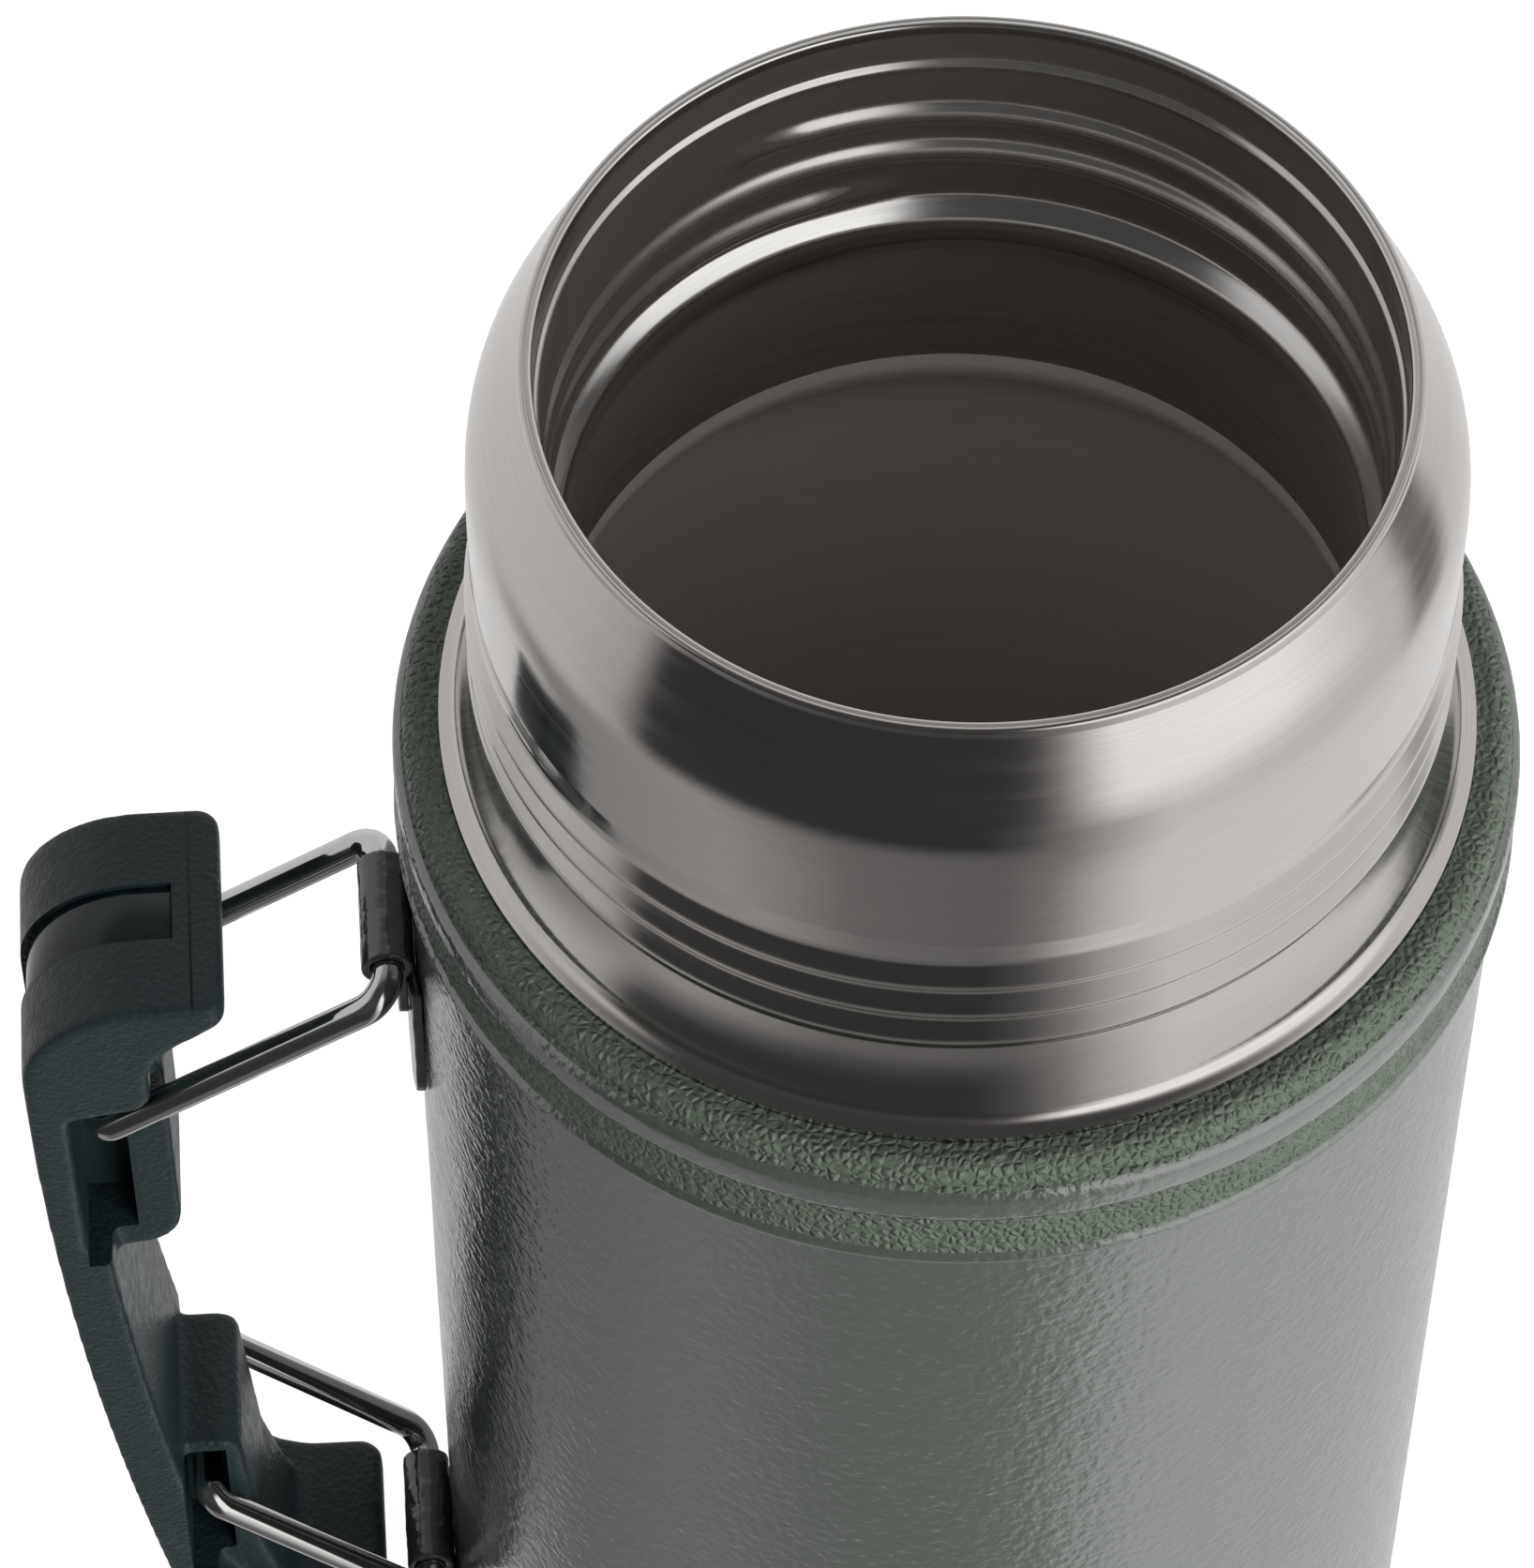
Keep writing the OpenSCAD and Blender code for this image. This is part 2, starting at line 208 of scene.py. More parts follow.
def turned(name, outline, columns, relief=None, slots=None, sharp=40):
    """A closed outline of [radius, z] turned about Z. relief(r, z, angle) gives how far each point
    moves along its normal, and slots(z, r) gives the material index of each row."""
    p = np.array(outline, float)
    rows = len(p)
    ahead = np.roll(p, -1, axis=0) - np.roll(p, 1, axis=0)
    normal = np.stack([-ahead[:, 1], ahead[:, 0]], axis=1)
    normal /= np.maximum(np.linalg.norm(normal, axis=1)[:, None], 1e-9)
    area = 0.5 * np.sum(p[:, 0] * np.roll(p[:, 1], -1) - np.roll(p[:, 0], -1) * p[:, 1])
    if area > 0:
        normal = -normal
    angle = np.linspace(0, 2 * math.pi, columns, endpoint=False)
    r, a = np.meshgrid(p[:, 0], angle, indexing="ij")
    z = np.meshgrid(p[:, 1], angle, indexing="ij")[0]
    if relief is not None:
        move = relief(r, z, a)
        r = r + move * normal[:, 0][:, None]
        z = z + move * normal[:, 1][:, None]
    verts = np.stack([r * np.cos(a), r * np.sin(a), z], axis=-1).reshape(-1, 3)
    i, j = np.meshgrid(np.arange(rows), np.arange(columns), indexing="ij")
    ni, nj = (i + 1) % rows, (j + 1) % columns
    quads = np.stack([i * columns + j, i * columns + nj, ni * columns + nj, ni * columns + j], axis=-1)
    mesh = mesh_from(name, verts, quads.reshape(-1, 4).tolist())
    if slots is not None:
        index = np.repeat([slots(q[1], q[0]) for q in p], columns)
        mesh.polygons.foreach_set("material_index", index.astype(np.int32))
    finish_mesh(mesh, sharp)
    return mesh


def prism(outline, half):
    """A solid of half-width half along Y, cut to an outline of [out, z]."""
    count = len(outline)
    verts = [[-q[0], side * half, q[1]] for side in (-1, 1) for q in outline]
    faces = [list(range(count)), [count + k for k in reversed(range(count))]]
    for k in range(count):
        n = (k + 1) % count
        faces.append([k, count + k, count + n, n])
    return verts, faces


def joined(name, parts):
    """One mesh from several lots of (verts, faces)."""
    verts, faces = [], []
    for v, f in parts:
        start = len(verts)
        verts.extend(v)
        faces.extend([[start + k for k in face] for face in f])
    mesh = mesh_from(name, verts, faces)
    bm = bmesh.new()
    bm.from_mesh(mesh)
    bmesh.ops.recalc_face_normals(bm, faces=bm.faces)
    bm.to_mesh(mesh)
    bm.free()
    return mesh


def with_modifiers(mesh, add):
    """The mesh after the modifiers that add(object) puts on it."""
    carrier = bpy.data.objects.new("carrier", mesh)
    bpy.context.scene.collection.objects.link(carrier)
    add(carrier)
    graph = bpy.context.evaluated_depsgraph_get()
    result = bpy.data.meshes.new_from_object(carrier.evaluated_get(graph))
    bpy.data.objects.remove(carrier)
    return result


def rounded(mesh, voxel_mm, passes):
    """The mesh as one skin, with its edges softened as a moulding's or a thick coat of paint's are."""
    def add(carrier):
        skin = carrier.modifiers.new("skin", "REMESH")
        skin.mode = "VOXEL"
        skin.voxel_size = voxel_mm * MM
        soften = carrier.modifiers.new("soften", "SMOOTH")
        soften.factor = 0.5
        soften.iterations = passes
    return with_modifiers(mesh, add)


def cut(mesh, cutter_parts):
    """The mesh less the given solids."""
    cutter = bpy.data.objects.new("cutter", joined("cutter", cutter_parts))
    bpy.context.scene.collection.objects.link(cutter)

    def add(carrier):
        minus = carrier.modifiers.new("minus", "BOOLEAN")
        minus.operation = "DIFFERENCE"
        minus.solver = "EXACT"
        minus.object = cutter
    result = with_modifiers(mesh, add)
    bpy.data.objects.remove(cutter)
    return result


def rough_skin(mesh, size_mm, depth_mm, seed):
    """Sinks the surface unevenly by up to about depth_mm, as thick enamel lies."""
    count = len(mesh.vertices)
    co = np.zeros(count * 3)
    mesh.vertices.foreach_get("co", co)
    co = co.reshape(-1, 3)
    normal = np.zeros(count * 3)
    mesh.vertices.foreach_get("normal", normal)
    move = smooth_noise(co / MM, size_mm, seed) + 0.5 * smooth_noise(co / MM, size_mm / 2, seed + 9)
    co = co + normal.reshape(-1, 3) * (depth_mm * MM * (move - 1) / 1.5)[:, None]
    mesh.vertices.foreach_set("co", co.ravel())
    mesh.update()


# ---------------------------------------------------------------- materials
class Shader:
    """A material with one Principled shader and helpers that add nodes to it."""

    def __init__(self, name, **values):
        self.material = bpy.data.materials.new(name)
        self.material.use_nodes = True
        self.nodes = self.material.node_tree.nodes
        self.links = self.material.node_tree.links
        self.main = self.nodes["Principled BSDF"]
        self.normal = None
        self.place = self.nodes.new("ShaderNodeTexCoord").outputs["Object"]
        for key, value in values.items():
            self.main.inputs[key.replace("_", " ")].default_value = value

    def scaled(self, scale):
        node = self.nodes.new("ShaderNodeMapping")
        node.inputs["Scale"].default_value = scale
        self.links.new(self.place, node.inputs["Vector"])
        return node.outputs["Vector"]

    def noise(self, scale, detail=2.0, rough=0.5):
        node = self.nodes.new("ShaderNodeTexNoise")
        node.inputs["Scale"].default_value = 1.0
        node.inputs["Detail"].default_value = detail
        node.inputs["Roughness"].default_value = rough
        self.links.new(self.scaled(scale), node.inputs["Vector"])
        return node.outputs["Fac"]

    def cells(self, scale, feature="SMOOTH_F1"):
        """Distance in a pattern of cells, by default with soft creases."""
        node = self.nodes.new("ShaderNodeTexVoronoi")
        node.feature = feature
        node.inputs["Scale"].default_value = 1.0
        self.links.new(self.scaled(scale), node.inputs["Vector"])
        return node.outputs["Distance"]

    def spread(self, value, low, high, to_low, to_high):
        """Stretches the part of a value from low to high over to_low to to_high."""
        node = self.nodes.new("ShaderNodeMapRange")
        node.interpolation_type = "SMOOTHSTEP"
        node.inputs["From Min"].default_value = low
        node.inputs["From Max"].default_value = high
        node.inputs["To Min"].default_value = to_low
        node.inputs["To Max"].default_value = to_high
        self.links.new(value, node.inputs["Value"])
        return node.outputs["Result"]

    def tint(self, value, dark, light):
        """Mixes the base colour from two shades."""
        node = self.nodes.new("ShaderNodeMix")
        node.data_type = "RGBA"
        node.inputs["A"].default_value = (*dark, 1)
        node.inputs["B"].default_value = (*light, 1)
        self.links.new(value, node.inputs["Factor"])
        self.links.new(node.outputs["Result"], self.main.inputs["Base Color"])

    def rough(self, value, low, high):
        """Varies the roughness between two values."""
        self.links.new(self.spread(value, 0.3, 0.7, low, high), self.main.inputs["Roughness"])

    def bump(self, value, depth_mm):
        """Adds a bump on top of those already there."""
        node = self.nodes.new("ShaderNodeBump")
        node.inputs["Distance"].default_value = depth_mm * MM
        self.links.new(value, node.inputs["Height"])
        if self.normal is not None:
            self.links.new(self.normal, node.inputs["Normal"])
        self.normal = node.outputs["Normal"]
        self.links.new(self.normal, self.main.inputs["Normal"])

    def brushed_round(self):
        """Turns the stretched highlight to run round the flask, as its brushing does."""
        node = self.nodes.new("ShaderNodeTangent")
        node.direction_type = "RADIAL"
        node.axis = "Z"
        self.links.new(node.outputs["Tangent"], self.main.inputs["Tangent"])


def per_mm(x, y=None, z=None):
    """A texture scale, given as features per millimetre."""
    y = x if y is None else y
    z = x if z is None else z
    return (x / MM, y / MM, z / MM)


def paint(name, dark, light, ior, wave_mm, wave_depth, low, high, grain_mm=0, grain_depth=0):
    """Enamel over steel. A high index stands for the metal flakes that make it mirror so strongly."""
    s = Shader(name, IOR=ior)
    s.tint(s.noise(per_mm(1 / 14), 3), dark, light)
    s.rough(s.noise(per_mm(1 / 3.0), 2), low, high)
    s.bump(s.noise(per_mm(1 / wave_mm), 2, 0.45), wave_depth)
    if grain_depth:
        s.bump(s.spread(s.cells(per_mm(1 / grain_mm), "DISTANCE_TO_EDGE"), 0, 0.4, 0, 1), grain_depth)
    return s.material


def steel(name, color, low, high, line_mm, line_depth, anisotropic, metal=1.0):
    """Steel brushed round the flask, in fine lines line_mm apart; low and high bound its roughness."""
    s = Shader(name, Metallic=metal, Anisotropic=anisotropic)
    lines = s.noise(per_mm(1 / 16, 1 / 16, 1 / line_mm), 3, 0.6)
    dark = tuple(c * 0.93 for c in color)
    s.tint(s.spread(lines, 0.3, 0.7, 0, 1), dark, color)
    s.rough(s.noise(per_mm(1 / 22, 1 / 22, 1 / 1.5), 2), low, high)
    s.bump(lines, line_depth)
    s.brushed_round()
    return s.material


def plastic(name, dark, light, low, high, grain_mm=0, grain_depth=0):
    """Moulded plastic or glass, with a grain if grain_depth is given; low and high bound its
    roughness."""
    s = Shader(name, IOR=1.45)
    s.tint(s.noise(per_mm(1 / 9), 3), dark, light)
    s.rough(s.noise(per_mm(1 / 2.0), 2), low, high)
    if grain_depth:
        s.bump(s.noise(per_mm(1 / (grain_mm * 1.7)), 3, 0.55), grain_depth * 0.8)
        s.bump(s.cells(per_mm(1 / grain_mm)), grain_depth)
    return s.material


body_paint = paint("body_paint", (0.062, 0.071, 0.06), (0.071, 0.081, 0.069), ior=2.4,
                   wave_mm=1.2, wave_depth=0.17, low=0.12, high=0.18)
grain_paint = paint("grain_paint", (0.08, 0.1, 0.076), (0.092, 0.115, 0.088), ior=1.5,
                    wave_mm=2.0, wave_depth=0.3, low=0.3, high=0.42, grain_mm=1.05, grain_depth=0.3)
# painted shade: the brackets' enamel is the body's green at about half its brightness, for the dark
# look of the knuckles
shaded_bracket_paint = paint("shaded_bracket_paint", (0.03, 0.034, 0.029), (0.038, 0.043, 0.037), ior=1.9,
                      wave_mm=2.2, wave_depth=0.2, low=0.12, high=0.2)
neck_steel = steel("neck_steel", (0.65, 0.615, 0.59), low=0.1, high=0.16,
                   line_mm=0.16, line_depth=0.0012, anisotropic=0.3)
# painted highlight: the bore's steel made lighter, for the bright seat ring and lip
highlight_steel = steel("highlight_steel", (0.72, 0.705, 0.69), low=0.14, high=0.2,
                       line_mm=0.2, line_depth=0.002, anisotropic=0.2)
bore_steel = steel("bore_steel", (0.6, 0.575, 0.55), low=0.14, high=0.2,
                   line_mm=0.25, line_depth=0.002, anisotropic=0.2, metal=0.97)
vessel_steel = steel("vessel_steel", (0.62, 0.57, 0.525), low=0.38, high=0.46,
                     line_mm=0.3, line_depth=0.003, anisotropic=0.2, metal=0.35)
wall_steel = steel("wall_steel", (0.58, 0.54, 0.5), low=0.26, high=0.34,
                   line_mm=0.3, line_depth=0.003, anisotropic=0.2, metal=0.93)
base_steel = steel("base_steel", (0.56, 0.545, 0.53), low=0.26, high=0.34,
                   line_mm=0.4, line_depth=0.004, anisotropic=0.2)
grip_plastic = plastic("grip_plastic", (0.0098, 0.0175, 0.0185), (0.012, 0.021, 0.022),
                       low=0.38, high=0.48, grain_mm=0.6, grain_depth=0.1)
inlay_plastic = plastic("inlay_plastic", (0.004, 0.0095, 0.0105), (0.005, 0.0115, 0.0125),
                        low=0.08, high=0.13)
pad_plastic = plastic("pad_plastic", (0.52, 0.5, 0.46), (0.58, 0.56, 0.52),
                      low=0.5, high=0.6, grain_mm=1.5, grain_depth=0.03)
glass = plastic("seal_glass", (0.03, 0.032, 0.038), (0.045, 0.047, 0.055), low=0.06, high=0.12)
getter_metal = plastic("getter_alloy", (0.05, 0.05, 0.052), (0.09, 0.09, 0.095),
                       low=0.6, high=0.75, grain_mm=0.3, grain_depth=0.05)


def wire_material():
    s = Shader("wire_steel", Metallic=1.0)
    s.tint(s.noise(per_mm(1 / 6), 3), (0.62, 0.605, 0.59), (0.7, 0.69, 0.675))
    s.rough(s.noise(per_mm(1 / 1.5), 3), 0.03, 0.07)
    s.bump(s.noise(per_mm(1 / 0.5), 2), 0.002)
    return s.material


def foil_material():
    s = Shader("foil", Metallic=1.0)
    s.tint(s.noise(per_mm(1 / 5), 3), (0.74, 0.74, 0.75), (0.84, 0.84, 0.85))
    s.rough(s.noise(per_mm(1 / 3), 2), 0.12, 0.22)
    s.bump(s.cells(per_mm(1 / 7), "F1"), 0.2)
    return s.material


wire_steel = wire_material()
foil = foil_material()


# ---------------------------------------------------------------- body and collar
def body_relief(r, z, a):
    """The long and short waves in the body's enamel, on its outer side only."""
    p = np.stack([r * np.cos(a), r * np.sin(a), z], axis=-1).reshape(-1, 3)
    waves = smooth_noise(p, 2.6, 3) + 0.6 * smooth_noise(p, 1.5, 5)
    slow = smooth_noise(p, 26.0, 8)
    outside = np.clip((r.ravel() - BODY_R + 0.3) / 0.25, 0, 1)
    return (outside * (0.028 * waves + 0.03 * slow - 0.07)).reshape(r.shape)


shell_inner = BODY_R - SHEET
body_outline = (dense([[shell_inner + 0.2, 0.6], [BODY_R - 0.9, 0.6]], 0.5)
                + arc(BODY_R - 0.9, 1.5, 0.9, -90, 0, 6)
                + dense([[BODY_R, 1.5], [BODY_R, SHELL_TOP]], 0.92)
                + dense([[shell_inner, SHELL_TOP], [shell_inner, 0.6]], 12))
add_piece("body_shell", turned("body_shell", body_outline, columns=380, relief=body_relief),
          "flask", [body_paint], ["outer_shell"])


def collar_outline():
    """Painted collar: thin lower bead, hollow band, flat band and a full top bead."""
    low = smooth_curve([[BODY_R + 0.05, BAND_LOW + 0.15], [BODY_R + 0.75, BAND_LOW + 0.1],
                        [BODY_R + 1.2, BAND_LOW + 0.9], [BODY_R + 0.8, BAND_LOW + 1.8],
                        [BODY_R + 0.62, BAND_LOW + 2.5], [BODY_R + 0.3, BAND_LOW + 4.6],
                        [BODY_R + 0.03, BAND_LOW + 7.2], [BODY_R + 0.1, BAND_LOW + 8.1],
                        [BODY_R + 0.72, BAND_LOW + 8.55], [BODY_R + 0.95, BAND_LOW + 9.2],
                        [BODY_R + 0.97, BAND_LOW + 11.2], [BODY_R + 0.7, BAND_LOW + 12.3],
                        [BODY_R - 0.1, BAND_LOW + 13.05], [BODY_R - 0.45, BAND_LOW + 13.3]], 0.28)
    bead = (arc(BODY_R - 2.4, BAND_LOW + 14, 2.25, -8, 96, 20)
            + [[JOINT_R + 0.6, JOINT_Z - 0.62], [JOINT_R + 0.03, JOINT_Z - 0.7]])
    inner = dense([[JOINT_R + 0.02, JOINT_Z - 0.9], [JOINT_R + 0.02, JOINT_Z - 2.7],
                   [shell_inner + 0.02, 211.2], [shell_inner + 0.02, SHELL_TOP + 0.02],
                   [BODY_R, SHELL_TOP + 0.02]], 2)
    return low + bead + inner


def collar_relief(r, z, a):
    """Leather grain on the top bead and, fainter, in the hollow band, over small waves everywhere."""
    p = np.stack([r * np.cos(a), r * np.sin(a), z], axis=-1).reshape(-1, 3)
    zz = z.ravel()
    bead = np.clip((zz - BAND_LOW - 12.6) / 0.8, 0, 1)
    hollow = np.clip((BAND_LOW + 8.6 - zz) / 0.8, 0, 1) * np.clip((zz - BAND_LOW - 1.6) / 0.8, 0, 1)
    outside = np.clip((r.ravel() - JOINT_R - 0.1) / 0.3, 0, 1)
    leather = pebbles(p, 1.35, 21)
    waves = smooth_noise(p, 2.4, 13) + 0.6 * smooth_noise(p, 1.2, 15)
    grain = 0.15 * np.maximum(bead, 0.7 * hollow) * (leather - 1)
    return (outside * (grain + 0.02 * (waves - 1.4))).reshape(r.shape)


def collar_slot(z, r):
    """0 smooth enamel on the flat band and lower bead, 1 grained on the top bead and in the hollow."""
    rise = z - BAND_LOW
    return 1 if rise > 12.9 or 1.9 < rise < 8.3 else 0


add_piece("collar", turned("collar", collar_outline(), columns=1040, relief=collar_relief,
                           slots=collar_slot, sharp=60),
          "flask", [body_paint, grain_paint], ["shoulder_band"])


# ---------------------------------------------------------------- neck
def cup_thread(depth, angle):
    """How far the cup's thread stands out of the neck, depth below the lip and at an angle in degrees.
    Each turn has a long upper flank and a short lower one, and the thread dies away at its ends."""
    rise = CREST_R - NECK_FOOT_R
    out = np.zeros_like(depth)
    for turn in range(CUP_TURNS + 1):
        travel = ((CUP_THREAD_ANGLE - angle) % 360.0) + 360.0 * turn
        u = depth - (CUP_THREAD_START + CUP_PITCH * travel / 360.0)
        taps = [np.interp(u + shift, [0.2, 3.1, 3.6, 5.05], [0, 1, 1, 0], 0, 0)
                for shift in (-0.4, -0.2, 0, 0.2, 0.4)]
        left = 360.0 * CUP_TURNS - travel
        ends = np.clip(travel / CUP_THREAD_FADE, 0, 1) * np.clip(left / CUP_THREAD_FADE, 0, 1)
        out = np.maximum(out, rise * np.mean(taps, axis=0) * ends)
    return out


def neck_relief(r, z, a):
    """The cup's thread, on the neck's outer side between the dome and the foot."""
    depth = HEIGHT - z
    zone = (depth > 28.0) & (depth < 50.5) & (r > NECK_FOOT_R - 0.5)
    return np.where(zone, cup_thread(depth, np.degrees(a)), 0.0)


flare = smooth_curve([[JOINT_R - 0.02, JOINT_Z], [NECK_FOOT_R + 2.75, 218.3],
                      [NECK_FOOT_R + 2.1, 219.9], [NECK_FOOT_R + 1.45, 221.8],
                      [NECK_FOOT_R + 0.92, 223.7], [NECK_FOOT_R + 0.5, 225.6],
                      [NECK_FOOT_R + 0.2, 227.6], [NECK_FOOT_R, 229.8]], 0.3)
dome = smooth_curve([[NECK_R, HEIGHT - 20], [NECK_R - 0.03, HEIGHT - 17],
                     [NECK_R - 0.22, HEIGHT - 14.3],
                     [NECK_R - 0.72, HEIGHT - 11.9], [NECK_R - 1.65, HEIGHT - 9.4],
                     [NECK_R - 2.75, HEIGHT - 7], [NECK_R - 4.0, HEIGHT - 4.6],
                     [NECK_R - 5.1, HEIGHT - 2.5], [NECK_R - 5.85, HEIGHT - 1.1]], 0.35)
neck_outer = (dense([[shell_inner - 0.02, 203], [shell_inner - 0.02, 211.1],
                     [JOINT_R - 0.02, JOINT_Z - 2.7], [JOINT_R - 0.02, JOINT_Z - 0.3]], 2)
              + flare
              + dense([[NECK_FOOT_R, 229.8], [NECK_FOOT_R, HEIGHT - 32.4], [NECK_R, HEIGHT - 28.9],
                       [NECK_R, HEIGHT - 20.3]], 0.22)
              + dome
              + arc(MOUTH_R + 1.0, HEIGHT - 0.5, 0.5, 20, 90, 6))
neck_inner = dense([[MOUTH_R + 0.82, HEIGHT - 0.05], [MOUTH_R + 0.82, HEIGHT - 1.6],
                    [NECK_R - 3.4, HEIGHT - 8], [NECK_R - 1.0, HEIGHT - 15],
                    [NECK_R - 1.0, HEIGHT - 29], [NECK_FOOT_R - NECK_SHEET, HEIGHT - 31],
                    [NECK_FOOT_R - NECK_SHEET, 223], [NECK_FOOT_R + 0.6, 219],
                    [JOINT_R - NECK_SHEET, 216.6], [JOINT_R - NECK_SHEET, 214.2],
                    [shell_inner - NECK_SHEET, 210.8], [shell_inner - NECK_SHEET, 203]], 4)
add_piece("neck", turned("neck", neck_outer + neck_inner, columns=330, relief=neck_relief, sharp=50),
          "flask", [neck_steel], ["neck_shell"])


# ---------------------------------------------------------------- mouth liner
def stopper_thread(depth, angle):
    """How far the stopper's thread stands into the mouth, depth below the lip."""
    out = np.zeros_like(depth)
    for turn in range(int(STOPPER_TURNS) + 1):
        travel = ((STOPPER_THREAD_ANGLE - angle) % 360.0) + 360.0 * turn
        left = 360.0 * STOPPER_TURNS - travel
        u = (depth - STOPPER_THREAD_START - STOPPER_PITCH * travel / 360.0) / STOPPER_THREAD_HALF
        ends = np.clip(travel / STOPPER_THREAD_FADE, 0, 1) * np.clip(left / STOPPER_THREAD_FADE, 0, 1)
        crest = np.cos(np.clip(u, -1, 1) * math.pi / 2) ** 1.3
        out = np.maximum(out, STOPPER_THREAD_RISE * crest * ends)
    return out


def liner_relief(r, z, a):
    """The stopper's thread, between the bore and the seat ring."""
    depth = HEIGHT - z
    zone = (depth > 8.0) & (depth < 27.6) & (r < MOUTH_R)
    return np.where(zone, stopper_thread(depth, np.degrees(a)), 0.0)


liner_inside = (arc(MOUTH_R + 0.45, HEIGHT - 0.45, 0.45, 90, 180, 5)
                + dense([[MOUTH_R, HEIGHT - 0.6], [MOUTH_R, HEIGHT - 5.2]], 0.8)
                + smooth_curve([[MOUTH_R - 0.04, HEIGHT - 5.4], [STOPPER_WALL_R - 0.1, HEIGHT - 6.0],
                                [STOPPER_WALL_R, HEIGHT - 6.8]], 0.15)
                + dense([[STOPPER_WALL_R, HEIGHT - 7], [STOPPER_WALL_R, SEAT_TOP + 1.4]], 0.25)
                + smooth_curve([[STOPPER_WALL_R, SEAT_TOP + 1.1],
                                [STOPPER_WALL_R - 0.25, SEAT_TOP + 0.7],
                                [SEAT_R + 1.15, SEAT_TOP - 0.15], [SEAT_R + 0.4, SEAT_TOP - 0.95],
                                [SEAT_R + 0.1, SEAT_TOP - 1.7], [SEAT_R, SEAT_TOP - 2.8],
                                [SEAT_R + 0.05, SEAT_TOP - 4.4], [SEAT_R + 0.8, SEAT_LOW - 0.6],
                                [LINER_END_R - 0.5, SEAT_LOW - 2.3],
                                [LINER_END_R - 0.05, SEAT_LOW - 3.2]], 0.2)
                + dense([[LINER_END_R, SEAT_LOW - 3.6], [LINER_END_R, LINER_LOW]], 0.8))
liner_outside = dense([[LINER_END_R + 0.78, LINER_LOW], [LINER_END_R + 0.78, SEAT_LOW - 3],
                       [SEAT_R + 1.4, SEAT_LOW + 1.4], [SEAT_R + 1.4, SEAT_TOP - 1.6],
                       [MOUTH_R + 0.3, SEAT_TOP + 1], [MOUTH_R + 0.3, HEIGHT - 6.5],
                       [MOUTH_R + 0.78, HEIGHT - 5], [MOUTH_R + 0.78, HEIGHT - 0.05]], 4)


def liner_slot(z, r):
    """0 bore, 1 seat ring and lip in a lighter steel that paints their highlight, 2 lower wall."""
    on_ring = r < LINER_END_R - 0.4 and SEAT_LOW - 1.6 < z < SEAT_TOP + 0.6
    if on_ring or z > HEIGHT - 0.7:
        return 1
    return 2 if z < SEAT_LOW - 1.6 else 0


# the seat ring and lip take the lighter steel, a painted highlight
add_piece("mouth_wall", turned("mouth_wall", liner_inside + liner_outside, columns=480,
                               relief=liner_relief, slots=liner_slot, sharp=50),
          "flask", [bore_steel, highlight_steel, wall_steel], ["mouth_liner"])


# ---------------------------------------------------------------- inner vessel
vessel_out = BODY_R - SHEET - VACUUM_GAP - FOIL_ROOM
vessel_in = vessel_out - SHEET
vessel_inside = (dense([[LINER_END_R + 0.82, LINER_LOW + 5.9], [LINER_END_R + 0.82, LINER_LOW - 0.02],
                        [LINER_END_R + 0.02, LINER_LOW - 0.02]], 2)
                 + smooth_curve([[LINER_END_R + 0.02, LINER_LOW - 0.6],
                                 [LINER_END_R + 0.3, LINER_LOW - 3.4],
                                 [LINER_END_R + 2.4, LINER_LOW - 7.4],
                                 [vessel_in - 2.2, LINER_LOW - 15.2],
                                 [vessel_in - 0.3, LINER_LOW - 19.0],
                                 [vessel_in, LINER_LOW - 23]], 0.6)
                 + dense([[vessel_in, LINER_LOW - 26], [vessel_in, VESSEL_FLOOR + 9.5]], 6)
                 + dense([[vessel_in, VESSEL_FLOOR + 8.8]], 1))
vessel_outside = dense([[vessel_out, VESSEL_FLOOR + 7], [vessel_out, 203],
                        [LINER_END_R + 2 * SHEET, LINER_LOW - 4],
                        [LINER_END_R + 2 * SHEET, LINER_LOW + 5.9]], 12)
add_piece("vessel_wall", turned("vessel_wall", vessel_inside + vessel_outside, columns=240), "flask",
          [vessel_steel], ["inner_vessel"])

floor_top = smooth_curve([[vessel_in - 0.8, VESSEL_FLOOR + 8.6], [vessel_in - 1.0, VESSEL_FLOOR + 6.6],
                          [51, VESSEL_FLOOR + 4.2], [46, VESSEL_FLOOR + 2.6], [38, VESSEL_FLOOR + 1.5],
                          [30, VESSEL_FLOOR + 0.9]], 0.8)
floor_outline = (floor_top + dense([[30, VESSEL_FLOOR + 0.85], [0, VESSEL_FLOOR + 0.8]], 4)
                 + dense([[0, VESSEL_FLOOR], [30, VESSEL_FLOOR], [46, VESSEL_FLOOR + 1.6],
                          [vessel_in - 1, VESSEL_FLOOR + 5], [vessel_in - 0.02, VESSEL_FLOOR + 6.4],
                          [vessel_in - 0.02, VESSEL_FLOOR + 8.6]], 4))
add_piece("vessel_floor", turned("vessel_floor", floor_outline, columns=240), "flask",
          [vessel_steel], ["inner_vessel_base"])

